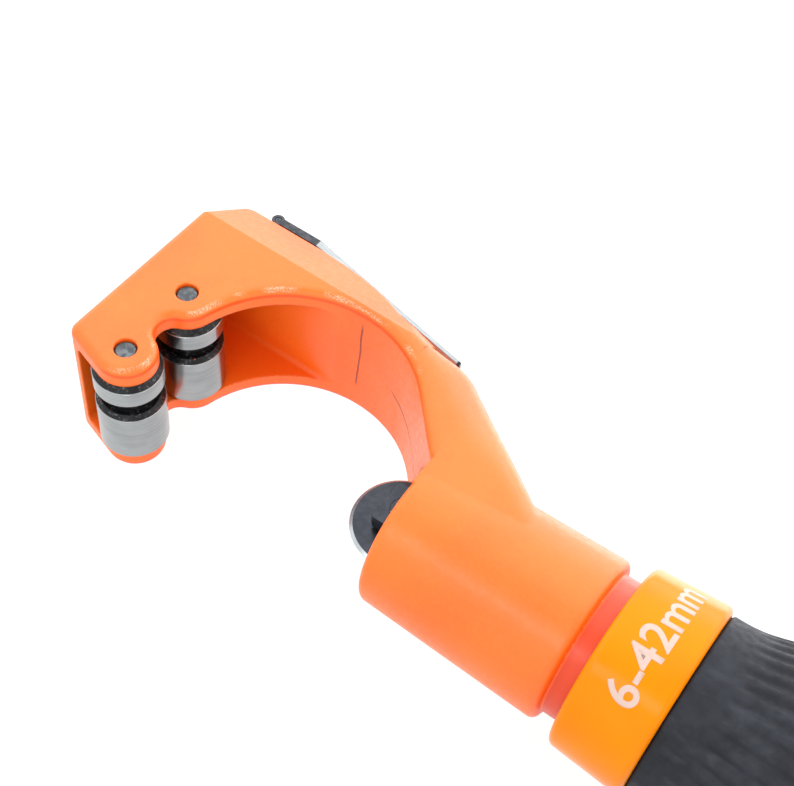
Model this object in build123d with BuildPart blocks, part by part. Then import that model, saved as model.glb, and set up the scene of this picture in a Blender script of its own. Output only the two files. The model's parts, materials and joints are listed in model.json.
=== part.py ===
"""Screw-fed pipe cutter, lying on its side, as an assembly of separate pieces.

Units are millimetres.  The origin lies on the feed axis, midway between the two
guide roller pins.  +X runs along the feed axis towards the handle, +Z runs along
the roller pins, and +Y points to the closed back of the C-shaped frame.
"""
from build123d import *
import os
from math import acos, asin, atan2, cos, degrees, radians, sin, sqrt, tan

os.makedirs("parts", exist_ok=True)

# ---- driving dimensions -----------------------------------------------------
ROLLER_RADIUS = 6.9
PIN_SPACING = 17.7         # roller pin to roller pin, across the feed axis
PIN_RADIUS = 2.25
RUNNING_GAP = 0.05         # radial clearance of every shaft that turns or slides
PRESS_GAP = 0.02           # between pieces that are pressed or screwed together
FRAME_HALF_WIDTH = 15.3
POCKET_HALF_WIDTH = 11.3   # the rollers stand between cheeks this far from the middle
WHEEL_RADIUS = 10.0
WHEEL_CENTRE_X = 58.7      # with the feed wound right back
FEED_TRAVEL = 42.0         # as far as the largest pipe is wide

# ---- stations along the feed axis -------------------------------------------
HEAD_FRONT_X = -12.0
BARREL_FRONT_X = 59.2
BARREL_REAR_X = 98.2
NECK_REAR_X = 103.4
SPIGOT_REAR_X = 130.0
RING_FRONT_X = 102.0
RING_REAR_X = 117.3
GRIP_REAR_X = 187.0
CAP_REAR_X = 196.0

# ---- radii about the feed axis ----------------------------------------------
BARREL_FRONT_RADIUS = 15.5
BARREL_REAR_RADIUS = 16.45
NECK_RADIUS = 14.25
SPIGOT_RADIUS = 12.6
MOUTH_RADIUS = 11.2
STEM_RADIUS = 8.5
STEM_BORE_RADIUS = 6.3
SCREW_RADIUS = 6.0
CORE_RADIUS = 15.8

# ---- frame ------------------------------------------------------------------
ARCH_CENTRE = (30.0, 1.5)
ARCH_RADIUS = 24.8
ARCH_END_ANGLE = 42.0      # where the arch turns into the straight leg
LOBE_RADIUS = 6.1          # cheek nose around each roller pin
NOTCH_FLOOR_X = 0.4        # dip of the cheek between the two noses
HEAD_BACK_Y = 42.0
SHOULDER_START_X = 6.0
SHOULDER_POINTS = ((19.0, 40.3), (29.0, 36.4))
BACK_CORNER_RADIUS = 3.0
FRONT_CORNER_RADIUS = 2.5
CORNER_DROP = 2.7          # front corner below the front pin
POCKET_BACK_Y = 25.6
POCKET_CORNER_RADIUS = 4.0
POCKET_ROUNDING = 1.2      # inner rims and corners of the casting
WEB_THICKNESS = 2.7
BEVEL_START_Y = 27.8       # edge between the flat face and the sloping back
BEVEL_ANGLE = 35.6
BEVEL_REACH = 30.0
CHEEK_ROUNDING = 1.8
RECESS_Y = 30.5            # low stretch of the back, under the reamer's tip
KNEE_X = 51.6
KNEE_RADIUS = 12.0
LEG_SLOPE = 34.6
LEG_ROUNDING = 6.0
LEG_START_X = 41.0
PLATE_END_X = 43.5
LEG_END_X = 82.0
JUNCTION_ROUNDING = 2.5    # where the leg grows out of the barrel
SEAM_START_X = 65.0        # the seam between them lies within these
SEAM_END_X = 84.0
SEAM_LOW_Y = 5.0
FACET_RISE = 0.3           # slope of the facet that runs the plate out into the leg
BARREL_ROUNDING = 1.5
MOUTH_LEAD = 6.0
MOUTH_REAR_X = 73.0
CUT_MARGIN = 1.0           # how far a cut runs past the solid
TOUCH = 0.01               # how near counts as lying in a plane

# ---- guide screw, retaining ring and thrust washer --------------------------
GUIDE_SCREW_X = 82.0
GUIDE_SCREW_RADIUS = 2.0
GUIDE_SCREW_OUTER_Z = 15.4
GUIDE_POINT_Z = 8.8
HEX_KEY = 2.0
CLIP_X = 125.0
CLIP_THICKNESS = 1.3
CLIP_GROOVE_RADIUS = 11.6
CLIP_OUTER_RADIUS = 14.2
CLIP_MOUTH = 5.0

# ---- rollers ----------------------------------------------------------------
ROLLER_END_GAP = 0.4
ROLLER_FOOT_CHAMFER = 0.5
GROOVE_LOW_Z = 1.05
GROOVE_HIGH_Z = 6.05
GROOVE_RADIUS = 4.9
GROOVE_CHAMFER = 1.0
FLANGE_CHAMFER = 1.2
PIN_RECESS = 0.6
PIN_CHAMFER = 0.4

# ---- carrier ----------------------------------------------------------------
FORK_TIP_X = 54.2
FORK_ROOT_X = 70.0         # inside the collar
FORK_HALF_WIDTH = 4.7
FORK_HALF_THICKNESS = 5.0
FORK_SLOT_HALF = 2.05
FORK_CHAMFER = 0.6
WHEEL_ROOM = 0.6
COLLAR_FRONT_X = 69.0
COLLAR_REAR_X = 72.5
COLLAR_RADIUS = 10.9
COLLAR_CHAMFER = 0.5
STEM_REAR_X = 128.5
STEM_BORE_X = 71.5
NUT_FRONT_X = 114.0
NUT_RADIUS = 7.0
NUT_CHAMFER = 0.4
KEYWAY_HALF = 1.5
KEYWAY_FLOOR = 7.3
KEYWAY_SPARE = 0.3

# ---- cutting wheel, its pin and clip ----------------------------------------
HUB_RADIUS = 4.0
HUB_GAP = 0.1
DISC_HALF_INNER = 1.0
DISC_HALF_OUTER = 0.5
EDGE_WIDTH = 0.6
EDGE_FLAT = 0.06
WHEEL_PIN_RADIUS = 1.75
PIN_HEAD_RADIUS = 2.8
PIN_HEAD_THICKNESS = 0.9
PIN_TAIL = 1.3
PIN_TAIL_CHAMFER = 0.3
E_CLIP_SEAT_RADIUS = 1.3
E_CLIP_RADIUS = 3.1
E_CLIP_THICKNESS = 0.55
E_CLIP_SEAT_WIDTH = 0.6
E_CLIP_SEAT_GAP = 0.1
E_CLIP_MOUTH_HALF = 1.15
E_CLIP_NOTCH = (0.9, 2.1, 0.55)   # back from the centre, to the side, radius

# ---- handle -----------------------------------------------------------------
CORE_SHOULDER_X = 123.6
CORE_GAP = 0.3
SCREW_TIP_X = 73.0
SCREW_TIP_CHAMFER = 1.0
COLLAR_X = 131.6
THRUST_COLLAR_RADIUS = 9.0
WEB_FRONT_X = 135.0
WEB_REAR_X = 143.0
TAIL_RADIUS = 4.0
TAIL_REAR_X = 151.0
SHANK_ACROSS_FLATS = 10.0
LOCK_NUT_ACROSS_FLATS = 13.0
LOCK_NUT_THICKNESS = 6.5
CAVITY_RADIUS = 12.0
PLUG_WEB_X = 166.0
PLUG_WEB_THICKNESS = 4.0
CAP_SCREW_RADIUS = 1.5
CAP_SCREW_HEAD_RADIUS = 3.2
CAP_SCREW_HEAD_THICKNESS = 2.0
CAP_SCREW_END_X = 164.0
CROSS_SLOT = (0.8, 4.2, 1.3)      # width, length and depth
SCREW_SEAT_X = 192.0
CAP_RADIUS = 17.0
CAP_SKIRT_X = 181.0
CAP_RIM_X = 191.0
CAP_BULGE = (194.4, 12.5)
CAP_FACE_RADIUS = 6.5
CAP_BOSS_RADIUS = 4.0
RING_BORE_RADIUS = 14.6
RING_FRONT_RADIUS = 18.2
RING_REAR_RADIUS = 19.2
RING_ROUNDING = 1.4
GRIP_FRONT_RADIUS = 18.0
GRIP_WAIST = (6.0, 18.4)          # behind the grip's front end, and radius
GRIP_FLARE = (13.0, 20.3)
GRIP_BELLY = (30.0, 21.4)
GRIP_TAPER = (51.7, 21.0)
GRIP_HEEL = (68.2, 18.2)
GRIP_END_RADIUS = 17.0
RIB_FRONT_X = 122.5
RIB_REAR_X = 181.0
RIB_COUNT = 40
RIB_WIDTH = 2.0
RIB_HEIGHT = 0.5
RIB_ROOT_RADIUS = 16.8             # inside the rubber
RIB_STOCK = 6.0

# ---- reamer -----------------------------------------------------------------
REAMER_HINGE = (-4.9, 43.8)
REAMER_PIN_RADIUS = 0.75
REAMER_PIN_CHAMFER = 0.15
EYE_RADIUS = 1.4
LUG_HALF_WIDTH = 1.9
LUG_ROOM = 0.15
HOLDER_HALF_WIDTH = 4.0
HOLDER_THICKNESS = 1.8
HOLDER_END_X = 5.7
TANG_START_X = 0.1
TANG_HALF_WIDTH = 3.2
TANG_THICKNESS = 0.8
RIVET_SPOTS = (1.5, 4.1)
RIVET_RADIUS = 0.7
RIVET_HEAD_RADIUS = 1.2
RIVET_HEAD_HEIGHT = 0.4
BLADE_TOP = 0.9
BLADE_HEEL_X = 14.7
BLADE_HEEL_DROP = 1.6
BLADE_TIP = (46.2, 37.8)
BLADE_TIP_HALF_HEIGHT = 0.4
BLADE_TIP_HALF_WIDTH = 1.0


def save(part, name):
    """Label a finished piece and write it as its own STEP file."""
    part.label = name
    export_step(part, "parts/" + name + ".step")


def on_circle(centre, radius, angle):
    """Point at an angle, in degrees from +X, on a circle in the XY plane."""
    return (centre[0] + radius * cos(radians(angle)), centre[1] + radius * sin(radians(angle)))


def ring_profile(x_low, x_high, r_low, r_high):
    """Rectangle in the XY plane that revolves about X into a ring."""
    with Locations(((x_low + x_high) / 2, (r_low + r_high) / 2)):
        Rectangle(x_high - x_low, r_high - r_low)


def on_side_faces(edge):
    """Whether an edge lies in one of the frame's two flat side faces."""
    return abs(abs(edge.center().Z) - FRAME_HALF_WIDTH) < TOUCH


# ---- frame: one casting of head, arch, leg, barrel and handle spigot ---------
REAR_PIN = (0.0, PIN_SPACING / 2)
FRONT_PIN = (0.0, -PIN_SPACING / 2)
notch_radius = (PIN_SPACING ** 2 / 4 + NOTCH_FLOOR_X ** 2 - LOBE_RADIUS ** 2) / (
    2 * (LOBE_RADIUS - NOTCH_FLOOR_X)
)
notch_turn = -degrees(atan2(PIN_SPACING / 2, NOTCH_FLOOR_X + notch_radius))
lobe_turn = degrees(atan2(ARCH_CENTRE[1] - REAR_PIN[1], ARCH_CENTRE[0]))
corner_reach = sqrt(HEAD_FRONT_X ** 2 + CORNER_DROP ** 2)
nose_turn = degrees(atan2(CORNER_DROP, -HEAD_FRONT_X) - asin(LOBE_RADIUS / corner_reach)) - 90
arch_start = on_circle(REAR_PIN, LOBE_RADIUS, lobe_turn)
arch_top = on_circle(ARCH_CENTRE, ARCH_RADIUS, 90)
arch_end = on_circle(ARCH_CENTRE, ARCH_RADIUS, ARCH_END_ANGLE)
leg_foot_y = arch_end[1] - (BARREL_FRONT_X - arch_end[0]) / tan(radians(ARCH_END_ANGLE))
leg_end_y = RECESS_Y - (LEG_END_X - KNEE_X) * tan(radians(LEG_SLOPE))
split_angle = degrees(acos((LEG_START_X - ARCH_CENTRE[0]) / ARCH_RADIUS))
join_angle = degrees(acos((PLATE_END_X - ARCH_CENTRE[0]) / ARCH_RADIUS))

with BuildPart() as leg:
    with BuildSketch(Plane.XY.offset(-FRAME_HALF_WIDTH)):
        with BuildLine():
            inner = ThreePointArc(
                on_circle(ARCH_CENTRE, ARCH_RADIUS, split_angle),
                on_circle(ARCH_CENTRE, ARCH_RADIUS, (split_angle + ARCH_END_ANGLE) / 2),
                arch_end,
            )
            Polyline(
                inner @ 1,
                (BARREL_FRONT_X, leg_foot_y),
                (BARREL_FRONT_X, 0),
                (LEG_END_X, 0),
                (LEG_END_X, leg_end_y),
                (KNEE_X, RECESS_Y),
                (LEG_START_X, RECESS_Y),
                inner @ 0,
            )
        make_face()
        knee = vertices().sort_by(lambda v: abs(v.X - KNEE_X) + abs(v.Y - RECESS_Y))[0]
        fillet(knee, KNEE_RADIUS)
    extrude(amount=2 * FRAME_HALF_WIDTH)
    back_edges = [
        edge
        for edge in edges().filter_by(on_side_faces)
        if edge.center().X + edge.center().Y > RECESS_Y + LEG_START_X
        and LEG_START_X + TOUCH < edge.center().X < LEG_END_X - TOUCH
    ]
    fillet(back_edges, LEG_ROUNDING)
    inner_edges = [
        edge
        for edge in edges().filter_by(on_side_faces)
        if LEG_START_X < edge.center().X < BARREL_FRONT_X - TOUCH and edge.center().Y < (inner @ 0).Y
    ]
    fillet(inner_edges, CHEEK_ROUNDING)

with BuildPart() as frame:
    with BuildSketch(Plane.XY.offset(-FRAME_HALF_WIDTH)):
        with BuildLine():
            head_front = Line((HEAD_FRONT_X, FRONT_PIN[1] - CORNER_DROP), (HEAD_FRONT_X, HEAD_BACK_Y))
            head_back = Line(head_front @ 1, (SHOULDER_START_X, HEAD_BACK_Y))
            shoulder = Spline(
                head_back @ 1, *SHOULDER_POINTS, (PLATE_END_X, RECESS_Y), tangents=[(1, 0), (1, -0.1)]
            )
            Line(shoulder @ 1, on_circle(ARCH_CENTRE, ARCH_RADIUS, join_angle))
            arch = ThreePointArc(on_circle(ARCH_CENTRE, ARCH_RADIUS, join_angle), arch_top, arch_start)
            rear_nose = ThreePointArc(
                arch @ 1,
                on_circle(REAR_PIN, LOBE_RADIUS, (lobe_turn + notch_turn) / 2),
                on_circle(REAR_PIN, LOBE_RADIUS, notch_turn),
            )
            notch = ThreePointArc(
                rear_nose @ 1, (NOTCH_FLOOR_X, 0), on_circle(FRONT_PIN, LOBE_RADIUS, -notch_turn)
            )
            front_nose = ThreePointArc(
                notch @ 1, (LOBE_RADIUS, FRONT_PIN[1]), on_circle(FRONT_PIN, LOBE_RADIUS, nose_turn)
            )
            Line(front_nose @ 1, head_front @ 0)
        make_face()
        fillet(vertices().sort_by(lambda v: v.X - v.Y)[0], BACK_CORNER_RADIUS)
    extrude(amount=2 * FRAME_HALF_WIDTH)
    # sloping sides of the back, on both faces
    with BuildSketch(Plane.YZ.offset(HEAD_FRONT_X - CUT_MARGIN)):
        with BuildLine():
            Polyline(
                (BEVEL_START_Y, FRAME_HALF_WIDTH),
                (BEVEL_START_Y + BEVEL_REACH, FRAME_HALF_WIDTH - BEVEL_REACH * tan(radians(BEVEL_ANGLE))),
                (BEVEL_START_Y + BEVEL_REACH, FRAME_HALF_WIDTH),
                close=True,
            )
        make_face()
        mirror(about=Plane.XZ)
    extrude(amount=PLATE_END_X - HEAD_FRONT_X + 2 * CUT_MARGIN, mode=Mode.SUBTRACT)
    # facets that run the slopes out into the rounded leg
    round_middle = LEG_ROUNDING * (1 - cos(radians(45)))
    for side in (-1, 1):
        facet = Plane(
            origin=(PLATE_END_X, RECESS_Y - round_middle, side * (FRAME_HALF_WIDTH - round_middle)),
            z_dir=(FACET_RISE, 1, side),
        )
        with BuildSketch(facet):
            Rectangle(BEVEL_REACH, BEVEL_REACH)
        extrude(amount=LEG_ROUNDING, mode=Mode.SUBTRACT)
    front_corner = edges().filter_by(Axis.Z).sort_by(lambda e: e.center().X + e.center().Y)[0]
    fillet(front_corner, FRONT_CORNER_RADIUS)
    rim_edges = [
        edge
        for edge in edges().filter_by(on_side_faces)
        if edge.center().Y < BEVEL_START_Y - TOUCH and edge.center().X < PLATE_END_X - TOUCH
    ]
    rim_edges += [
        edge for edge in edges() if edge.center().X < HEAD_FRONT_X + TOUCH and edge not in rim_edges
    ]
    fillet(rim_edges, CHEEK_ROUNDING)
    # pocket between the cheeks, closed by a web at the front end
    with BuildSketch(Plane.XY.offset(-POCKET_HALF_WIDTH)):
        with BuildLine():
            Polyline(
                (HEAD_FRONT_X + WEB_THICKNESS, -PIN_SPACING),
                (ARCH_CENTRE[0], -PIN_SPACING),
                (ARCH_CENTRE[0], POCKET_BACK_Y),
                (HEAD_FRONT_X + WEB_THICKNESS, POCKET_BACK_Y),
                close=True,
            )
        make_face()
        fillet(vertices().sort_by(lambda v: v.X - v.Y)[0], POCKET_CORNER_RADIUS)
    extrude(amount=2 * POCKET_HALF_WIDTH, mode=Mode.SUBTRACT)
    pocket_corners = [
        edge
        for edge in edges()
        if abs(abs(edge.center().Z) - POCKET_HALF_WIDTH) < TOUCH
        and edge.center().Y < POCKET_BACK_Y + TOUCH
        and (edge.center().Y > POCKET_BACK_Y - POCKET_CORNER_RADIUS
             or edge.center().X < HEAD_FRONT_X + WEB_THICKNESS + TOUCH)
    ]
    fillet(pocket_corners, POCKET_ROUNDING)
    add(leg.part)
    # barrel, neck and the spigot that the handle turns on
    with BuildSketch(Plane.XY):
        with BuildLine():
            Polyline(
                (BARREL_FRONT_X, 0),
                (BARREL_FRONT_X, BARREL_FRONT_RADIUS),
                (BARREL_REAR_X, BARREL_REAR_RADIUS),
                (BARREL_REAR_X, NECK_RADIUS),
                (NECK_REAR_X, NECK_RADIUS),
                (NECK_REAR_X, SPIGOT_RADIUS),
                (SPIGOT_REAR_X, SPIGOT_RADIUS),
                (SPIGOT_REAR_X, 0),
                close=True,
            )
        make_face()
        fillet(vertices().sort_by(Axis.Y)[-2:], BARREL_ROUNDING)
    revolve(axis=Axis.X)
    junction = [
        edge
        for edge in edges()
        if edge.geom_type in (GeomType.BSPLINE, GeomType.ELLIPSE)
        and SEAM_START_X < edge.center().X < SEAM_END_X
        and edge.center().Y > SEAM_LOW_Y
    ]
    fillet(junction, JUNCTION_ROUNDING)
    # mouth that the carrier's collar slides out of, and the stem's bore
    with BuildSketch(Plane.YZ.offset(BARREL_FRONT_X - MOUTH_LEAD)):
        Circle(MOUTH_RADIUS)
    extrude(amount=MOUTH_REAR_X - BARREL_FRONT_X + MOUTH_LEAD, mode=Mode.SUBTRACT)
    with BuildSketch(Plane.YZ.offset(MOUTH_REAR_X - CUT_MARGIN)):
        Circle(STEM_RADIUS + RUNNING_GAP)
    extrude(amount=SPIGOT_REAR_X - MOUTH_REAR_X + 2 * CUT_MARGIN, mode=Mode.SUBTRACT)
    # groove for the retaining ring
    with BuildSketch(Plane.XY):
        ring_profile(CLIP_X, CLIP_X + CLIP_THICKNESS, CLIP_GROOVE_RADIUS, SPIGOT_RADIUS + CUT_MARGIN)
    revolve(axis=Axis.X, mode=Mode.SUBTRACT)
    # roller pin holes through both cheeks
    with BuildSketch(Plane.XY.offset(-FRAME_HALF_WIDTH - CUT_MARGIN)):
        with Locations(FRONT_PIN, REAR_PIN):
            Circle(PIN_RADIUS + RUNNING_GAP)
    extrude(amount=2 * (FRAME_HALF_WIDTH + CUT_MARGIN), mode=Mode.SUBTRACT)
    # guide screw hole in the far side of the barrel
    with BuildSketch(Plane.XY.offset(-BARREL_REAR_RADIUS - CUT_MARGIN)):
        with Locations((GUIDE_SCREW_X, 0)):
            Circle(GUIDE_SCREW_RADIUS + RUNNING_GAP)
    extrude(amount=BARREL_REAR_RADIUS, mode=Mode.SUBTRACT)
    # hinge lug of the reamer on the flat of the back
    with BuildSketch(Plane.XY.offset(-LUG_HALF_WIDTH)):
        with Locations(REAMER_HINGE):
            Circle(EYE_RADIUS)
        with Locations((REAMER_HINGE[0], HEAD_BACK_Y)):
            Rectangle(2 * EYE_RADIUS, 2 * (REAMER_HINGE[1] - HEAD_BACK_Y))
        with Locations(REAMER_HINGE):
            Circle(REAMER_PIN_RADIUS + RUNNING_GAP, mode=Mode.SUBTRACT)
    extrude(amount=2 * LUG_HALF_WIDTH)
save(frame.part, "frame")

# ---- guide rollers and their pins -------------------------------------------
roller_half = POCKET_HALF_WIDTH - ROLLER_END_GAP
for name, centre in (("front", FRONT_PIN), ("rear", REAR_PIN)):
    with BuildPart() as roller:
        with BuildSketch(Plane.XZ.offset(-centre[1])):
            with BuildLine():
                Polyline(
                    (PIN_RADIUS + RUNNING_GAP, -roller_half),
                    (ROLLER_RADIUS - ROLLER_FOOT_CHAMFER, -roller_half),
                    (ROLLER_RADIUS, -roller_half + ROLLER_FOOT_CHAMFER),
                    (ROLLER_RADIUS, GROOVE_LOW_Z),
                    (ROLLER_RADIUS - GROOVE_CHAMFER, GROOVE_LOW_Z + GROOVE_CHAMFER),
                    (GROOVE_RADIUS, GROOVE_LOW_Z + GROOVE_CHAMFER),
                    (GROOVE_RADIUS, GROOVE_HIGH_Z),
                    (ROLLER_RADIUS, GROOVE_HIGH_Z),
                    (ROLLER_RADIUS, roller_half - FLANGE_CHAMFER),
                    (ROLLER_RADIUS - FLANGE_CHAMFER, roller_half),
                    (PIN_RADIUS + RUNNING_GAP, roller_half),
                    close=True,
                )
            make_face()
        revolve(axis=Axis((centre[0], centre[1], 0), (0, 0, 1)))
    save(roller.part, name + "_roller")

    with BuildPart() as pin:
        with BuildSketch(Plane.XY.offset(-FRAME_HALF_WIDTH + PIN_RECESS)):
            with Locations(centre):
                Circle(PIN_RADIUS)
        extrude(amount=2 * (FRAME_HALF_WIDTH - PIN_RECESS))
        chamfer(edges().filter_by(GeomType.CIRCLE), PIN_CHAMFER)
    save(pin.part, name + "_roller_pin")

# ---- carrier: fork for the wheel on a hollow stem that slides in the barrel --
slot_rear_x = WHEEL_CENTRE_X + WHEEL_RADIUS + WHEEL_ROOM
with BuildPart() as carrier:
    with BuildSketch(Plane.XY):
        with BuildLine():
            Polyline(
                (COLLAR_FRONT_X, 0),
                (COLLAR_FRONT_X, COLLAR_RADIUS),
                (COLLAR_REAR_X, COLLAR_RADIUS),
                (COLLAR_REAR_X, STEM_RADIUS),
                (STEM_REAR_X, STEM_RADIUS),
                (STEM_REAR_X, 0),
                close=True,
            )
        make_face()
        chamfer(vertices().sort_by(Axis.Y)[-2:], COLLAR_CHAMFER)
    revolve(axis=Axis.X)
    # fork arms
    with BuildSketch(Plane.XY.offset(-FORK_HALF_THICKNESS)):
        with Locations(((FORK_TIP_X + FORK_ROOT_X) / 2, 0)):
            Rectangle(FORK_ROOT_X - FORK_TIP_X, 2 * FORK_HALF_WIDTH)
        chamfer(vertices().sort_by(Axis.X)[:2], FORK_CHAMFER)
    extrude(amount=2 * FORK_HALF_THICKNESS)
    # slot for the wheel
    with BuildSketch(Plane.XY.offset(-FORK_SLOT_HALF)):
        with Locations(((FORK_TIP_X - CUT_MARGIN + slot_rear_x) / 2, 0)):
            Rectangle(slot_rear_x - FORK_TIP_X + CUT_MARGIN, 2 * COLLAR_RADIUS)
    extrude(amount=2 * FORK_SLOT_HALF, mode=Mode.SUBTRACT)
    # wheel pin hole, with a seat that lets the pin's head lie flush
    with BuildSketch(Plane.XY.offset(-FORK_HALF_THICKNESS - CUT_MARGIN)):
        with Locations((WHEEL_CENTRE_X, 0)):
            Circle(WHEEL_PIN_RADIUS + RUNNING_GAP)
    extrude(amount=2 * (FORK_HALF_THICKNESS + CUT_MARGIN), mode=Mode.SUBTRACT)
    with BuildSketch(Plane.XY.offset(FORK_HALF_THICKNESS - PIN_HEAD_THICKNESS)):
        with Locations((WHEEL_CENTRE_X, 0)):
            Circle(PIN_HEAD_RADIUS + RUNNING_GAP)
    extrude(amount=PIN_HEAD_THICKNESS + CUT_MARGIN, mode=Mode.SUBTRACT)
    # hollow stem, with a seat for the feed nut at its rear
    with BuildSketch(Plane.XY):
        ring_profile(STEM_BORE_X, STEM_REAR_X + CUT_MARGIN, 0, STEM_BORE_RADIUS)
        ring_profile(NUT_FRONT_X, STEM_REAR_X + CUT_MARGIN, 0, NUT_RADIUS + PRESS_GAP)
    revolve(axis=Axis.X, mode=Mode.SUBTRACT)
    # keyway for the guide screw's point
    with BuildSketch(Plane.XY.offset(-STEM_RADIUS - CUT_MARGIN)):
        with Locations((GUIDE_SCREW_X + FEED_TRAVEL / 2, 0)):
            SlotOverall(FEED_TRAVEL + 2 * (KEYWAY_HALF + KEYWAY_SPARE), 2 * KEYWAY_HALF)
    extrude(amount=CUT_MARGIN + STEM_RADIUS - KEYWAY_FLOOR, mode=Mode.SUBTRACT)
save(carrier.part, "carrier")

# feed nut, pressed into the rear of the stem
with BuildPart() as feed_nut:
    with BuildSketch(Plane.XY):
        ring_profile(NUT_FRONT_X, STEM_REAR_X, SCREW_RADIUS + RUNNING_GAP, NUT_RADIUS)
    revolve(axis=Axis.X)
    chamfer(edges().filter_by(GeomType.CIRCLE).sort_by(Axis.X)[-2:], NUT_CHAMFER)
save(feed_nut.part, "feed_nut")

# ---- cutting wheel, its pin and the clip that holds the pin ------------------
hub_half = FORK_SLOT_HALF - HUB_GAP
wheel_bore = WHEEL_PIN_RADIUS + RUNNING_GAP
with BuildPart() as cutter_wheel:
    with BuildSketch(Plane.XZ):
        with BuildLine():
            Polyline(
                (WHEEL_CENTRE_X + wheel_bore, 0),
                (WHEEL_CENTRE_X + wheel_bore, hub_half),
                (WHEEL_CENTRE_X + HUB_RADIUS, hub_half),
                (WHEEL_CENTRE_X + HUB_RADIUS, DISC_HALF_INNER),
                (WHEEL_CENTRE_X + WHEEL_RADIUS - EDGE_WIDTH, DISC_HALF_OUTER),
                (WHEEL_CENTRE_X + WHEEL_RADIUS, EDGE_FLAT / 2),
                (WHEEL_CENTRE_X + WHEEL_RADIUS, 0),
                close=True,
            )
        make_face()
        mirror(about=Plane.XZ)
    revolve(axis=Axis((WHEEL_CENTRE_X, 0, 0), (0, 0, 1)))
save(cutter_wheel.part, "cutter_wheel")

with BuildPart() as wheel_pin:
    with BuildSketch(Plane.XY.offset(FORK_HALF_THICKNESS - PIN_HEAD_THICKNESS)):
        with Locations((WHEEL_CENTRE_X, 0)):
            Circle(PIN_HEAD_RADIUS)
    extrude(amount=PIN_HEAD_THICKNESS - RUNNING_GAP)
    with BuildSketch(Plane.XY.offset(-FORK_HALF_THICKNESS - PIN_TAIL)):
        with Locations((WHEEL_CENTRE_X, 0)):
            Circle(WHEEL_PIN_RADIUS)
    extrude(amount=2 * FORK_HALF_THICKNESS + PIN_TAIL - PIN_HEAD_THICKNESS)
    chamfer(edges().filter_by(GeomType.CIRCLE).sort_by(Axis.Z)[0], PIN_TAIL_CHAMFER)
    with BuildSketch(Plane.XY.offset(-FORK_HALF_THICKNESS - E_CLIP_SEAT_GAP - E_CLIP_SEAT_WIDTH)):
        with Locations((WHEEL_CENTRE_X, 0)):
            Circle(WHEEL_PIN_RADIUS + CUT_MARGIN)
            Circle(E_CLIP_SEAT_RADIUS, mode=Mode.SUBTRACT)
    extrude(amount=E_CLIP_SEAT_WIDTH, mode=Mode.SUBTRACT)
save(wheel_pin.part, "wheel_pin")

with BuildPart() as wheel_clip:
    with BuildSketch(Plane.XY.offset(-FORK_HALF_THICKNESS - E_CLIP_SEAT_GAP - E_CLIP_SEAT_WIDTH + PRESS_GAP)):
        with Locations((WHEEL_CENTRE_X, 0)):
            Circle(E_CLIP_RADIUS)
            Circle(E_CLIP_SEAT_RADIUS + PRESS_GAP, mode=Mode.SUBTRACT)
        with Locations((WHEEL_CENTRE_X + (E_CLIP_RADIUS + CUT_MARGIN) / 2, 0)):
            Rectangle(E_CLIP_RADIUS + CUT_MARGIN, 2 * E_CLIP_MOUTH_HALF, mode=Mode.SUBTRACT)
        for side in (-1, 1):
            with Locations((WHEEL_CENTRE_X - E_CLIP_NOTCH[0], side * E_CLIP_NOTCH[1])):
                Circle(E_CLIP_NOTCH[2], mode=Mode.SUBTRACT)
    extrude(amount=E_CLIP_THICKNESS)
save(wheel_clip.part, "wheel_clip")

# ---- guide screw, thrust washer and retaining ring --------------------------
with BuildPart() as guide_screw:
    with BuildSketch(Plane.XY.offset(-GUIDE_SCREW_OUTER_Z)):
        with Locations((GUIDE_SCREW_X, 0)):
            Circle(GUIDE_SCREW_RADIUS)
    extrude(amount=GUIDE_SCREW_OUTER_Z - GUIDE_POINT_Z)
    with BuildSketch(Plane.XY.offset(-GUIDE_POINT_Z)):
        with Locations((GUIDE_SCREW_X, 0)):
            Circle(KEYWAY_HALF - RUNNING_GAP)
    extrude(amount=GUIDE_POINT_Z - KEYWAY_FLOOR - RUNNING_GAP)
    with BuildSketch(Plane.XY.offset(-GUIDE_SCREW_OUTER_Z)):
        with Locations((GUIDE_SCREW_X, 0)):
            RegularPolygon(HEX_KEY / 2, 6, major_radius=False)
    extrude(amount=HEX_KEY, mode=Mode.SUBTRACT)
save(guide_screw.part, "guide_screw")

with BuildPart() as thrust_washer:
    with BuildSketch(Plane.XY):
        ring_profile(
            CORE_SHOULDER_X + RUNNING_GAP,
            CLIP_X - RUNNING_GAP,
            SPIGOT_RADIUS + RUNNING_GAP,
            CLIP_OUTER_RADIUS,
        )
    revolve(axis=Axis.X)
save(thrust_washer.part, "thrust_washer")

with BuildPart() as retaining_ring:
    with BuildSketch(Plane.YZ.offset(CLIP_X + RUNNING_GAP)):
        Circle(CLIP_OUTER_RADIUS)
        Circle(CLIP_GROOVE_RADIUS + RUNNING_GAP, mode=Mode.SUBTRACT)
        with Locations((0, -CLIP_OUTER_RADIUS)):
            Rectangle(CLIP_MOUTH, CLIP_OUTER_RADIUS, mode=Mode.SUBTRACT)
    extrude(amount=CLIP_THICKNESS - 2 * RUNNING_GAP)
save(retaining_ring.part, "retaining_ring")

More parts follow.
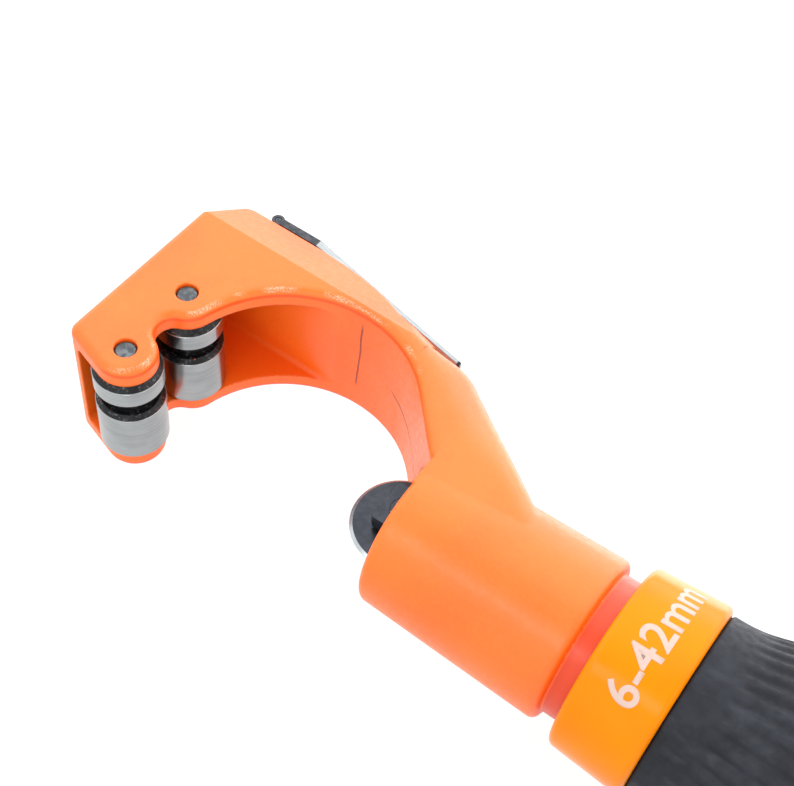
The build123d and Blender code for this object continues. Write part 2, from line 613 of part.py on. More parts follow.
# ---- handle: feed screw, core, coloured ring, rubber grip and end cap --------
with BuildPart() as feed_screw:
    with BuildSketch(Plane.XY):
        with BuildLine():
            Polyline(
                (SCREW_TIP_X, 0),
                (SCREW_TIP_X, SCREW_RADIUS - SCREW_TIP_CHAMFER),
                (SCREW_TIP_X + SCREW_TIP_CHAMFER, SCREW_RADIUS),
                (COLLAR_X, SCREW_RADIUS),
                (COLLAR_X, THRUST_COLLAR_RADIUS),
                (WEB_FRONT_X, THRUST_COLLAR_RADIUS),
                (WEB_FRONT_X, TAIL_RADIUS),
                (TAIL_REAR_X, TAIL_RADIUS),
                (TAIL_REAR_X, 0),
                close=True,
            )
        make_face()
    revolve(axis=Axis.X)
    with BuildSketch(Plane.YZ.offset(WEB_FRONT_X)):
        RegularPolygon(SHANK_ACROSS_FLATS / 2, 6, major_radius=False)
    extrude(amount=WEB_REAR_X - WEB_FRONT_X - RUNNING_GAP)
save(feed_screw.part, "feed_screw")

with BuildPart() as lock_nut:
    with BuildSketch(Plane.YZ.offset(WEB_REAR_X + PRESS_GAP)):
        RegularPolygon(LOCK_NUT_ACROSS_FLATS / 2, 6, major_radius=False)
        Circle(TAIL_RADIUS + PRESS_GAP, mode=Mode.SUBTRACT)
    extrude(amount=LOCK_NUT_THICKNESS)
save(lock_nut.part, "lock_nut")

plug_rear_x = PLUG_WEB_X + PLUG_WEB_THICKNESS
with BuildPart() as handle_core:
    with BuildSketch(Plane.XY):
        ring_profile(NECK_REAR_X + CORE_GAP, GRIP_REAR_X, 0, CORE_RADIUS)
    revolve(axis=Axis.X)
    with BuildSketch(Plane.XY):
        ring_profile(NECK_REAR_X - CUT_MARGIN, CORE_SHOULDER_X, 0, SPIGOT_RADIUS + RUNNING_GAP)
        ring_profile(CORE_SHOULDER_X, WEB_FRONT_X, 0, CLIP_OUTER_RADIUS + CORE_GAP)
        ring_profile(WEB_REAR_X, PLUG_WEB_X, 0, CAVITY_RADIUS)
        ring_profile(PLUG_WEB_X, plug_rear_x, 0, CAP_SCREW_RADIUS + PRESS_GAP)
        ring_profile(plug_rear_x, GRIP_REAR_X + CUT_MARGIN, 0, CAVITY_RADIUS)
    revolve(axis=Axis.X, mode=Mode.SUBTRACT)
    with BuildSketch(Plane.YZ.offset(WEB_FRONT_X - CUT_MARGIN)):
        RegularPolygon(SHANK_ACROSS_FLATS / 2 + PRESS_GAP, 6, major_radius=False)
    extrude(amount=WEB_REAR_X - WEB_FRONT_X + 2 * CUT_MARGIN, mode=Mode.SUBTRACT)
save(handle_core.part, "handle_core")

with BuildPart() as grip_ring:
    with BuildSketch(Plane.XY):
        with BuildLine():
            Polyline(
                (RING_FRONT_X, RING_BORE_RADIUS),
                (RING_FRONT_X, RING_FRONT_RADIUS),
                (RING_REAR_X, RING_REAR_RADIUS),
                (RING_REAR_X, CORE_RADIUS + PRESS_GAP),
                (NECK_REAR_X + CORE_GAP, CORE_RADIUS + PRESS_GAP),
                (NECK_REAR_X + CORE_GAP, RING_BORE_RADIUS),
                close=True,
            )
        make_face()
        fillet(vertices().sort_by(Axis.Y)[-2:], RING_ROUNDING)
    revolve(axis=Axis.X)
save(grip_ring.part, "grip_ring")

grip_front_x = RING_REAR_X + RUNNING_GAP


def grip_section(drop, low_x, high_x):
    """Half section of the rubber grip between two stations, lowered everywhere by drop."""
    with BuildSketch(Plane.XY) as section:
        with BuildLine():
            outer = Spline(
                (grip_front_x, GRIP_FRONT_RADIUS - drop),
                *[
                    (RING_REAR_X + along, radius - drop)
                    for along, radius in (GRIP_WAIST, GRIP_FLARE, GRIP_BELLY, GRIP_TAPER, GRIP_HEEL)
                ],
                tangents=[(1, 0), (1, -0.35)],
            )
            Polyline(
                outer @ 1,
                (GRIP_REAR_X, GRIP_END_RADIUS - drop),
                (GRIP_REAR_X, CORE_RADIUS + PRESS_GAP),
                (grip_front_x, CORE_RADIUS + PRESS_GAP),
                outer @ 0,
            )
        make_face()
        with Locations(((low_x + high_x) / 2, CORE_RADIUS + RIB_STOCK)):
            Rectangle(high_x - low_x, 2 * RIB_STOCK, mode=Mode.INTERSECT)
    return section.sketch


with BuildPart() as grip_ribs:
    revolve(grip_section(0, RIB_FRONT_X, RIB_REAR_X), axis=Axis.X)
    with BuildSketch(Plane.YZ.offset(RIB_FRONT_X)):
        with PolarLocations(RIB_ROOT_RADIUS + RIB_STOCK / 2, RIB_COUNT):
            Rectangle(RIB_STOCK, RIB_WIDTH)
    extrude(amount=RIB_REAR_X - RIB_FRONT_X, mode=Mode.INTERSECT)

with BuildPart() as rubber_grip:
    revolve(grip_section(RIB_HEIGHT, RIB_FRONT_X, RIB_REAR_X), axis=Axis.X)
    revolve(grip_section(0, RING_REAR_X, RIB_FRONT_X), axis=Axis.X)
    revolve(grip_section(0, RIB_REAR_X, GRIP_REAR_X + CUT_MARGIN), axis=Axis.X)
    add(grip_ribs.part)
save(rubber_grip.part, "rubber_grip")

with BuildPart() as end_cap:
    with BuildSketch(Plane.XY):
        with BuildLine():
            skirt = Polyline(
                (plug_rear_x + RUNNING_GAP, 0),
                (plug_rear_x + RUNNING_GAP, CAP_BOSS_RADIUS),
                (CAP_SKIRT_X, CAP_BOSS_RADIUS),
                (CAP_SKIRT_X, CAVITY_RADIUS - PRESS_GAP),
                (GRIP_REAR_X + RUNNING_GAP, CAVITY_RADIUS - PRESS_GAP),
                (GRIP_REAR_X + RUNNING_GAP, CAP_RADIUS),
                (CAP_RIM_X, CAP_RADIUS),
            )
            dome = ThreePointArc(skirt @ 1, CAP_BULGE, (CAP_REAR_X, CAP_FACE_RADIUS))
            Polyline(dome @ 1, (CAP_REAR_X, 0), skirt @ 0)
        make_face()
    revolve(axis=Axis.X)
    with BuildSketch(Plane.XY):
        ring_profile(PLUG_WEB_X, CAP_REAR_X + CUT_MARGIN, 0, CAP_SCREW_RADIUS + RUNNING_GAP)
        ring_profile(SCREW_SEAT_X, CAP_REAR_X + CUT_MARGIN, 0, CAP_SCREW_HEAD_RADIUS + RUNNING_GAP)
    revolve(axis=Axis.X, mode=Mode.SUBTRACT)
save(end_cap.part, "end_cap")

with BuildPart() as cap_screw:
    with BuildSketch(Plane.XY):
        ring_profile(CAP_SCREW_END_X, SCREW_SEAT_X, 0, CAP_SCREW_RADIUS)
        ring_profile(SCREW_SEAT_X, SCREW_SEAT_X + CAP_SCREW_HEAD_THICKNESS, 0, CAP_SCREW_HEAD_RADIUS)
    revolve(axis=Axis.X)
    with BuildSketch(Plane.YZ.offset(SCREW_SEAT_X + CAP_SCREW_HEAD_THICKNESS)):
        Rectangle(CROSS_SLOT[0], CROSS_SLOT[1])
        Rectangle(CROSS_SLOT[1], CROSS_SLOT[0])
    extrude(amount=-CROSS_SLOT[2], mode=Mode.SUBTRACT)
save(cap_screw.part, "cap_screw")

# ---- reamer: fork-ended holder, pointed blade, rivets and hinge pin ----------
hinge_x, hinge_y = REAMER_HINGE
rivets = [(x, 0) for x in RIVET_SPOTS]
tang_middle_x = (TANG_START_X + HOLDER_END_X) / 2
with BuildPart() as reamer_holder:
    with BuildSketch(Plane.XY.offset(-HOLDER_HALF_WIDTH)):
        with Locations(REAMER_HINGE):
            Circle(EYE_RADIUS)
        with Locations(((hinge_x + HOLDER_END_X) / 2, hinge_y)):
            Rectangle(HOLDER_END_X - hinge_x, HOLDER_THICKNESS)
        with Locations(REAMER_HINGE):
            Circle(REAMER_PIN_RADIUS + RUNNING_GAP, mode=Mode.SUBTRACT)
    extrude(amount=2 * HOLDER_HALF_WIDTH)
    # gap for the hinge lug
    with BuildSketch(Plane.XY.offset(-LUG_HALF_WIDTH - LUG_ROOM)):
        with Locations(REAMER_HINGE):
            Rectangle(3 * EYE_RADIUS, 3 * EYE_RADIUS)
    extrude(amount=2 * (LUG_HALF_WIDTH + LUG_ROOM), mode=Mode.SUBTRACT)
    # slot for the blade's tang
    with BuildSketch(Plane.XY.offset(-TANG_HALF_WIDTH - RUNNING_GAP)):
        with Locations((tang_middle_x, hinge_y)):
            Rectangle(HOLDER_END_X - TANG_START_X + 2 * RUNNING_GAP, TANG_THICKNESS + 2 * PRESS_GAP)
    extrude(amount=2 * (TANG_HALF_WIDTH + RUNNING_GAP), mode=Mode.SUBTRACT)
    with BuildSketch(Plane.XZ.offset(-hinge_y - HOLDER_THICKNESS)):
        with Locations(*rivets):
            Circle(RIVET_RADIUS + PRESS_GAP)
    extrude(amount=2 * HOLDER_THICKNESS, mode=Mode.SUBTRACT)
save(reamer_holder.part, "reamer_holder")

blade_start_x = HOLDER_END_X + RUNNING_GAP
with BuildPart() as reamer_blade:
    with BuildSketch(Plane.XY.offset(-HOLDER_HALF_WIDTH)):
        with BuildLine():
            Polyline(
                (blade_start_x, hinge_y + BLADE_TOP),
                (BLADE_TIP[0], BLADE_TIP[1] + BLADE_TIP_HALF_HEIGHT),
                (BLADE_TIP[0], BLADE_TIP[1] - BLADE_TIP_HALF_HEIGHT),
                (BLADE_HEEL_X, hinge_y - BLADE_HEEL_DROP),
                (blade_start_x, hinge_y - BLADE_TOP),
                close=True,
            )
        make_face()
    extrude(amount=2 * HOLDER_HALF_WIDTH)
    with BuildSketch(Plane.XZ.offset(-hinge_y - BLADE_TOP)):
        with BuildLine():
            Polyline(
                (blade_start_x, HOLDER_HALF_WIDTH),
                (BLADE_TIP[0], BLADE_TIP_HALF_WIDTH),
                (BLADE_TIP[0], -BLADE_TIP_HALF_WIDTH),
                (blade_start_x, -HOLDER_HALF_WIDTH),
                close=True,
            )
        make_face()
    extrude(amount=HEAD_BACK_Y - RECESS_Y, mode=Mode.INTERSECT)
    with BuildSketch(Plane.XY.offset(-TANG_HALF_WIDTH)):
        with Locations((tang_middle_x + RUNNING_GAP, hinge_y)):
            Rectangle(HOLDER_END_X - TANG_START_X, TANG_THICKNESS)
    extrude(amount=2 * TANG_HALF_WIDTH)
    with BuildSketch(Plane.XZ.offset(-hinge_y - HOLDER_THICKNESS)):
        with Locations(*rivets):
            Circle(RIVET_RADIUS + PRESS_GAP)
    extrude(amount=2 * HOLDER_THICKNESS, mode=Mode.SUBTRACT)
save(reamer_blade.part, "reamer_blade")

with BuildPart() as reamer_rivets:
    with BuildSketch(Plane.XZ.offset(-hinge_y + HOLDER_THICKNESS / 2)):
        with Locations(*rivets):
            Circle(RIVET_RADIUS)
    extrude(amount=-HOLDER_THICKNESS)
    with BuildSketch(Plane.XZ.offset(-hinge_y - HOLDER_THICKNESS / 2)):
        with Locations(*rivets):
            Circle(RIVET_HEAD_RADIUS)
    extrude(amount=-RIVET_HEAD_HEIGHT)
save(reamer_rivets.part, "reamer_rivets")

with BuildPart() as reamer_pin:
    with BuildSketch(Plane.XY.offset(-HOLDER_HALF_WIDTH)):
        with Locations(REAMER_HINGE):
            Circle(REAMER_PIN_RADIUS)
    extrude(amount=2 * HOLDER_HALF_WIDTH)
    chamfer(edges().filter_by(GeomType.CIRCLE), REAMER_PIN_CHAMFER)
save(reamer_pin.part, "reamer_pin")
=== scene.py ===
"""Pipe cutter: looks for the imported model, in metres, in the same frame as the CAD."""
import json
import math

import bmesh
import bpy
from mathutils import Matrix, Vector


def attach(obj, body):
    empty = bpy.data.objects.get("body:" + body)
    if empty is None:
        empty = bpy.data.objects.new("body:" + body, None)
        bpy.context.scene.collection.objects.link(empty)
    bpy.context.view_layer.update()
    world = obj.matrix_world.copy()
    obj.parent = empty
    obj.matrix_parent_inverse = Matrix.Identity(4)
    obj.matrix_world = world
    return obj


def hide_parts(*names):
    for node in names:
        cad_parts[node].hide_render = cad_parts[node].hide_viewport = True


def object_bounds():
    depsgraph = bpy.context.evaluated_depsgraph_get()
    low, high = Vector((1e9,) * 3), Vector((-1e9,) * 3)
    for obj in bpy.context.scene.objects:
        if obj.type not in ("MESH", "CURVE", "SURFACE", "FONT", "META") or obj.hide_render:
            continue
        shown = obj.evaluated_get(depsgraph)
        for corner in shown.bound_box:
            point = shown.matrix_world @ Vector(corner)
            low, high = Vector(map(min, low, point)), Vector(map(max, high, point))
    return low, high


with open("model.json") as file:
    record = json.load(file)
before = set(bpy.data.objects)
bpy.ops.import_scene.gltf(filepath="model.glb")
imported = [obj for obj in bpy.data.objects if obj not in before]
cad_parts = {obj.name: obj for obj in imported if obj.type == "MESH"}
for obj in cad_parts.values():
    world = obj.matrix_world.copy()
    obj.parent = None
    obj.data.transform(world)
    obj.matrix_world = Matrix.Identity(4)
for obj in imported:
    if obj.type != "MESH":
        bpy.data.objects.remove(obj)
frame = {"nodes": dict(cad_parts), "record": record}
cad_low, cad_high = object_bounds()
MM = 0.001
scene = bpy.context.scene

# ---- places and sizes on the tool, in millimetres ---------------------------
PIN_SPOTS = ((0.0, -8.85), (0.0, 8.85))     # roller pins
ARCH_CENTRE = (30.0, 1.5)
ARCH_RADIUS = 24.8
CHEEK_Z = 15.3                              # flat side faces of the frame
POCKET_Z = 11.3                             # inner faces of the two cheeks
BEVEL_Y = 27.6                              # ridge where the cheek turns into the sloping back
BARREL_CLEAR_X = 50.0                       # the lips end where x passes this plus y
ROLLER_BAND_RADIUS = 6.78                   # the ground band is all that lies outside this
WHEEL_SPOT = (58.7, 0.0)
WHEEL_RIM_RADIUS = 9.35
BLADE_TIP_X = 46.2
NECK_SPAN_X = (98.6, 104.0)                 # between the barrel and the ring
LIP_DEPTH = 1.8                             # how far the rounded lips reach in from the side faces
ACROSS_LINE = (29.1, 29.5)                  # parting line across the arch, along x
ALONG_LINE = (-1.0, -0.5)                   # parting line down the arch, along z at its start
ALONG_START_X, ALONG_SLOPE = 39.2, 0.36
SEAM_SPAN_X = (40.0, 88.0)                  # where the leg grows out of the barrel


# ---- node helpers -----------------------------------------------------------
def set_range(node, low, high, out_low, out_high):
    """Make a Map Range node turn low to high smoothly into out_low to out_high."""
    node.interpolation_type = "SMOOTHSTEP"
    node.inputs["From Min"].default_value = low
    node.inputs["From Max"].default_value = high
    node.inputs["To Min"].default_value = out_low
    node.inputs["To Max"].default_value = out_high


class Graph:
    """A material's node tree, with short calls for the nodes used here, in millimetres."""

    def __init__(self, name):
        self.material = bpy.data.materials.new(name)
        self.material.use_nodes = True
        self.tree = self.material.node_tree
        self.shader = self.tree.nodes["Principled BSDF"]
        metres = self.tree.nodes.new("ShaderNodeTexCoord").outputs["Object"]
        self.place = self.mapping(metres, scale=(1 / MM,) * 3)

    def put(self, socket, value):
        if isinstance(value, bpy.types.NodeSocket):
            self.tree.links.new(value, socket)
        else:
            socket.default_value = value

    def set(self, **inputs):
        """Set or link the shader's inputs, their names written with underscores."""
        for name, value in inputs.items():
            self.put(self.shader.inputs[name.replace("_", " ")], value)

    def mapping(self, source, scale=(1, 1, 1)):
        node = self.tree.nodes.new("ShaderNodeMapping")
        self.put(node.inputs["Vector"], source)
        node.inputs["Scale"].default_value = scale
        return node.outputs["Vector"]

    def noise(self, per_mm, detail=3.0, roughness=0.5, stretch=(1, 1, 1)):
        """Noise in 0..1 with about per_mm features to the millimetre."""
        texture = self.tree.nodes.new("ShaderNodeTexNoise")
        self.put(texture.inputs["Vector"], self.mapping(self.place, scale=stretch))
        texture.inputs["Scale"].default_value = per_mm
        texture.inputs["Detail"].default_value = detail
        texture.inputs["Roughness"].default_value = roughness
        return texture.outputs["Fac"]

    def math(self, operation, a, b=0.0):
        node = self.tree.nodes.new("ShaderNodeMath")
        node.operation = operation
        for socket, value in zip(node.inputs, (a, b)):
            self.put(socket, value)
        return node.outputs[0]

    def product(self, *values):
        result = values[0]
        for value in values[1:]:
            result = self.math("MULTIPLY", result, value)
        return result

    def ramp(self, value, low, high, out_low=0.0, out_high=1.0):
        """Value between low and high becomes out_low to out_high, smoothly."""
        node = self.tree.nodes.new("ShaderNodeMapRange")
        set_range(node, low, high, out_low, out_high)
        self.put(node.inputs["Value"], value)
        return node.outputs["Result"]

    def band(self, value, low, high, soft):
        """1 where value lies between low and high, with soft ends."""
        rise = self.ramp(value, low - soft, low + soft)
        fall = self.ramp(value, high - soft, high + soft, 1.0, 0.0)
        return self.product(rise, fall)

    def mix(self, share, first, second):
        node = self.tree.nodes.new("ShaderNodeMix")
        node.data_type = "RGBA"
        self.put(node.inputs["Factor"], share)
        self.put(node.inputs["A"], first)
        self.put(node.inputs["B"], second)
        return node.outputs["Result"]

    def axes(self):
        """X, Y and Z of the place, as three sockets."""
        node = self.tree.nodes.new("ShaderNodeSeparateXYZ")
        self.put(node.inputs[0], self.place)
        return node.outputs

    def facing(self):
        """X, Y and Z of the surface's own normal, as three sockets."""
        node = self.tree.nodes.new("ShaderNodeSeparateXYZ")
        self.put(node.inputs[0], self.tree.nodes.new("ShaderNodeTexCoord").outputs["Normal"])
        return node.outputs

    def length(self, a, b):
        """Length of the two-part vector (a, b)."""
        return self.math("SQRT", self.math("ADD", self.product(a, a), self.product(b, b)))

    def reach(self, spot):
        """Distance in the XY plane from a spot."""
        x, y = self.axes()[:2]
        return self.length(self.math("SUBTRACT", x, spot[0]), self.math("SUBTRACT", y, spot[1]))

    def bump(self, height, distance_mm, strength=1.0, normal=None):
        node = self.tree.nodes.new("ShaderNodeBump")
        self.put(node.inputs["Height"], height)
        node.inputs["Distance"].default_value = distance_mm * MM
        node.inputs["Strength"].default_value = strength
        if normal:
            self.put(node.inputs["Normal"], normal)
        return node.outputs["Normal"]

    def rounded(self, radius_mm):
        """Normals that round every sharp edge off by a radius."""
        bevel = self.tree.nodes.new("ShaderNodeBevel")
        bevel.samples = 6
        self.put(bevel.inputs["Radius"], self.math("MULTIPLY", radius_mm, MM))
        return bevel.outputs[0]

    def edge(self, radius_mm):
        """1 on sharp convex or concave edges, 0 on flat stretches."""
        geometry = self.tree.nodes.new("ShaderNodeNewGeometry")
        dot = self.tree.nodes.new("ShaderNodeVectorMath")
        dot.operation = "DOT_PRODUCT"
        self.put(dot.inputs[0], self.rounded(radius_mm))
        self.put(dot.inputs[1], geometry.outputs["Normal"])
        return self.ramp(dot.outputs["Value"], 0.97, 0.86)


def rgb(red, green, blue):
    """Linear colour from screen values 0..255."""
    def linear(value):
        value /= 255
        return value / 12.92 if value <= 0.04045 else ((value + 0.055) / 1.055) ** 2.4
    return (linear(red), linear(green), linear(blue), 1.0)


# ---- materials --------------------------------------------------------------
def orange_paint():
    """Satin powder coat over a casting: orange peel, specks, rough lips and parting lines."""
    g = Graph("orange_powder_paint")
    x, y, z = g.axes()
    high = g.math("ABSOLUTE", z)
    base = g.mix(g.ramp(g.noise(0.05, 4), 0.35, 0.65), rgb(246, 98, 12), rgb(251, 106, 18))
    base = g.mix(g.ramp(g.noise(1.4, 3, 0.6), 0.42, 0.7, 0.0, 0.14), base, rgb(255, 122, 52))
    # the neck, shaded and a little redder
    base = g.mix(g.band(x, *NECK_SPAN_X, 0.2), base, rgb(208, 62, 3))
    # overspray and grit in the pocket between the cheeks
    grit = g.product(
        g.ramp(g.noise(1.7, 3, 0.75), 0.62, 0.70),
        g.ramp(high, POCKET_Z - 0.4, POCKET_Z - 1.4),
        g.ramp(x, 27.0, 20.0),
        g.ramp(g.noise(0.12, 2), 0.42, 0.58),
    )
    base = g.mix(g.product(grit, 0.55), base, rgb(120, 44, 14))
    speck = g.ramp(g.noise(0.9, 2, 0.8), 0.765, 0.785)
    base = g.mix(g.product(speck, 0.6), base, rgb(120, 60, 34))
    # lips of the arch and of the cheek noses, where the paint is rough, with pale painted glints on
    # them
    slope = g.math("ABSOLUTE", g.facing()[2])
    lip_glint_and_crust = g.product(
        g.band(slope, 0.62, 0.965, 0.03),
        g.band(x, 1.0, 46.0, 1.0),
        g.ramp(y, BEVEL_Y, BEVEL_Y - 1.0),
        g.ramp(high, CHEEK_Z - LIP_DEPTH - 0.4, CHEEK_Z - LIP_DEPTH + 0.2),
        g.ramp(g.noise(0.13, 2), 0.42, 0.58),
        g.ramp(g.noise(3.4, 4, 0.8), 0.46, 0.60),
    )
    # painted shade where the lips turn down into the opening
    turned = g.product(
        g.band(slope, 0.10, 0.42, 0.06),
        g.band(x, -1.0, 60.0, 1.0),
        g.ramp(y, BEVEL_Y, BEVEL_Y - 1.0),
        g.ramp(g.math("SUBTRACT", g.math("ADD", y, BARREL_CLEAR_X), x), 0.0, 2.0),
        g.ramp(high, CHEEK_Z - LIP_DEPTH - 0.6, CHEEK_Z - LIP_DEPTH),
    )
    # painted shade: darker orange along the turned-down lips
    base = g.mix(g.product(turned, 0.75), base, rgb(226, 66, 4))
    # painted glints: the rough lips lightened towards a pale colour
    base = g.mix(g.product(lip_glint_and_crust, 0.7), base, rgb(255, 206, 176))
    # painted glints: pale flecks along the rounded edges of the casting
    edge_wear_and_glint = g.product(g.edge(0.6), g.ramp(g.noise(1.3, 4, 0.7), 0.52, 0.62))
    base = g.mix(g.product(edge_wear_and_glint, 0.4), base, rgb(255, 176, 120))
    # parting lines left by the mould on the inner wall of the arch
    wall_reach = g.ramp(x, 42.0, 45.0, ARCH_RADIUS, ARCH_RADIUS + 4.0)
    depth = g.math("SUBTRACT", g.reach(ARCH_CENTRE), wall_reach)
    wall = g.product(g.ramp(depth, 0.8, 0.3), g.ramp(y, 8.0, 10.0))
    wander = g.ramp(g.noise(0.09, 2), 0.2, 0.8, -0.4, 0.4)
    across_at = g.math("ADD", x, wander)
    across = g.product(g.band(across_at, *ACROSS_LINE, 0.12), g.band(z, -7.5, 11.0, 1.5))
    along_at = g.product(g.math("SUBTRACT", x, ALONG_START_X), ALONG_SLOPE)
    along_at = g.math("ADD", g.math("ADD", z, along_at), wander)
    along = g.product(g.band(along_at, *ALONG_LINE, 0.15), g.ramp(x, 37.5, 40.0))
    line = g.product(g.math("MAXIMUM", across, along), wall)
    base = g.mix(g.product(line, 0.9), base, rgb(136, 36, 8))
    g.set(Base_Color=base, Roughness=g.ramp(g.noise(0.9, 3), 0.3, 0.7, 0.34, 0.46))
    g.shader.inputs["Specular IOR Level"].default_value = 0.42
    g.shader.inputs["Coat Weight"].default_value = 0.14
    g.shader.inputs["Coat Roughness"].default_value = 0.25
    height = g.math("ADD", g.noise(1.1, 2, 0.4), g.product(lip_glint_and_crust, 1.6))
    height = g.math("SUBTRACT", height, g.product(line, 2.0))
    # the seam where the leg grows out of the barrel is rounder than other edges
    seam = g.product(g.band(x, *SEAM_SPAN_X, 4.0), g.ramp(y, 6.0, 11.0))
    soft_edges = g.rounded(g.ramp(seam, 0.0, 1.0, 0.7, 3.0))
    g.set(Normal=g.bump(height, 0.03, 0.7, normal=soft_edges))
    g.material.cycles.use_bump_map_correction = False
    return g.material


def ground_steel(name, tone, rough, grain=(1, 1, 60)):
    """Bright turned or ground steel, with grinding marks drawn out by the grain."""
    g = Graph(name)
    marks = g.noise(0.06, 5, 0.6, stretch=grain)
    lighter = tuple(min(255, value + 16) for value in tone)
    base = g.mix(g.ramp(marks, 0.3, 0.7), rgb(*tone), rgb(*lighter))
    g.set(Base_Color=base, Metallic=1.0, Roughness=g.ramp(marks, 0.25, 0.75, rough, rough + 0.1))
    g.set(Normal=g.bump(marks, 0.006, 0.4, normal=g.rounded(0.12)))
    return g.material


def roller_steel():
    """Rollers: ground bright on the bands, black and rough on the chamfers and in the groove."""
    g = Graph("roller_steel")
    front, rear = (g.reach(spot) for spot in PIN_SPOTS)
    radius = g.math("MINIMUM", front, rear)
    bright = g.ramp(radius, ROLLER_BAND_RADIUS - 0.06, ROLLER_BAND_RADIUS + 0.06)
    marks = g.noise(0.08, 4, 0.6, stretch=(1, 1, 26))
    shade = g.noise(0.16, 2, 0.5)
    ground = g.mix(g.ramp(shade, 0.35, 0.65), rgb(150, 154, 156), rgb(162, 166, 167))
    ground = g.mix(g.ramp(marks, 0.35, 0.65, 0.0, 0.2), ground, rgb(188, 190, 192))
    nick = g.ramp(g.noise(1.1, 2, 0.8), 0.74, 0.77)
    ground = g.mix(g.product(nick, 0.7), ground, rgb(80, 74, 70))
    scale = g.mix(g.ramp(g.noise(1.3, 4, 0.75), 0.54, 0.70), rgb(17, 18, 20), rgb(92, 92, 96))
    dab = g.ramp(g.noise(0.75, 2, 0.6), 0.72, 0.76)
    scale = g.mix(g.product(dab, 0.7), scale, rgb(196, 78, 34))
    g.set(
        Base_Color=g.mix(bright, scale, ground),
        Metallic=g.ramp(bright, 0.0, 1.0, 0.55, 1.0),
        Roughness=g.ramp(bright, 0.0, 1.0, 0.36, 0.24),
    )
    rough = g.product(g.noise(1.3, 3, 0.6), g.ramp(bright, 0.0, 1.0, 1.0, 0.05))
    g.set(Normal=g.bump(rough, 0.08, 0.6, normal=g.rounded(0.15)))
    return g.material


def dark_steel(name, tone, rough, mottle=26):
    """Blackened steel, mottled, with bare metal showing along its edges."""
    g = Graph(name)
    cloud = g.noise(0.9, 5, 0.7)
    lighter = tuple(value + mottle for value in tone)
    base = g.mix(g.ramp(cloud, 0.42, 0.66), rgb(*tone), rgb(*lighter))
    edge_wear_and_glint = g.product(g.edge(0.22), g.ramp(g.noise(1.5, 3), 0.35, 0.6))
    base = g.mix(g.product(edge_wear_and_glint, 0.6), base, rgb(118, 121, 126))
    g.set(Base_Color=base, Metallic=0.7, Roughness=g.ramp(cloud, 0.3, 0.7, rough, rough + 0.15))
    g.set(Normal=g.bump(g.noise(2.5, 3), 0.03, 0.6, normal=g.rounded(0.15)))
    return g.material


def wheel_steel():
    """Cutting wheel and its fork: dark blue-grey, the wheel's ground edge bright."""
    g = Graph("wheel_steel")
    high = g.math("ABSOLUTE", g.axes()[2])
    cloud = g.noise(0.5, 4, 0.6)
    base = g.mix(g.ramp(cloud, 0.35, 0.7), rgb(47, 50, 57), rgb(60, 63, 70))
    radius = g.reach(WHEEL_SPOT)
    turned = g.noise(0.2, 3, 0.5)
    disc = g.ramp(high, 1.3, 1.15)
    rim = g.product(g.ramp(radius, WHEEL_RIM_RADIUS, WHEEL_RIM_RADIUS + 0.12), disc)
    base = g.mix(rim, base, g.mix(turned, rgb(148, 156, 160), rgb(176, 184, 188)))
    g.set(Base_Color=base, Metallic=0.75, Roughness=g.ramp(cloud, 0.3, 0.7, 0.22, 0.34))
    g.set(Normal=g.bump(g.noise(1.2, 3), 0.02, 0.4, normal=g.rounded(0.12)))
    return g.material


def blade_steel():
    """Reamer blade: rolled strip, bright, darker along its ground edges and at its point."""
    g = Graph("blade_steel")
    tip = g.ramp(g.axes()[0], BLADE_TIP_X - 0.9, BLADE_TIP_X - 0.5)
    marks = g.noise(0.1, 4, 0.6, stretch=(1, 30, 30))
    base = g.mix(g.ramp(marks, 0.3, 0.7), rgb(140, 146, 148), rgb(166, 171, 173))
    base = g.mix(g.product(g.edge(0.3), 0.75), base, rgb(84, 92, 96))
    base = g.mix(tip, base, rgb(40, 42, 46))
    g.set(Base_Color=base, Metallic=0.9, Roughness=g.ramp(marks, 0.25, 0.75, 0.26, 0.36))
    g.set(Normal=g.bump(marks, 0.008, 0.5, normal=g.rounded(0.1)))
    return g.material


def amber_plastic():
    """Ring behind the neck: glossy moulded plastic, slightly cloudy."""
    g = Graph("amber_ring_plastic")
    base = g.mix(g.ramp(g.noise(0.06, 3), 0.3, 0.7), rgb(222, 119, 0), rgb(230, 127, 0))
    g.set(Base_Color=base, Roughness=g.ramp(g.noise(0.6, 4), 0.3, 0.7, 0.14, 0.22))
    g.shader.inputs["Specular IOR Level"].default_value = 0.12
    g.set(Normal=g.bump(g.noise(0.3, 2), 0.02, 0.4))
    return g.material


def print_ink():
    """White pad print, thin enough that a little of the ring shows through."""
    g = Graph("print_ink")
    thin = g.ramp(g.noise(1.6, 3, 0.7), 0.52, 0.75)
    base = g.mix(g.product(thin, 0.5), rgb(192, 166, 155), rgb(200, 140, 100))
    g.set(Base_Color=base, Roughness=0.5)
    g.set(Normal=g.bump(g.noise(2.0, 2), 0.02, 0.4))
    return g.material


def grip_rubber():
    """Slate-black rubber, matte, scuffed pale along the ribs."""
    g = Graph("grip_rubber")
    base = g.mix(g.ramp(g.noise(0.12, 5, 0.6), 0.3, 0.75), rgb(23, 25, 31), rgb(36, 39, 47))
    scuff = g.product(g.ramp(g.noise(0.35, 3, 0.5, stretch=(0.4, 1, 1)), 0.50, 0.75), 0.22)
    base = g.mix(scuff, base, rgb(70, 74, 84))
    g.set(Base_Color=base, Roughness=g.ramp(g.noise(0.8, 4), 0.3, 0.7, 0.52, 0.68))
    g.shader.inputs["Specular IOR Level"].default_value = 0.25
    g.set(Normal=g.bump(g.noise(3.0, 3), 0.04, 0.5))
    return g.material


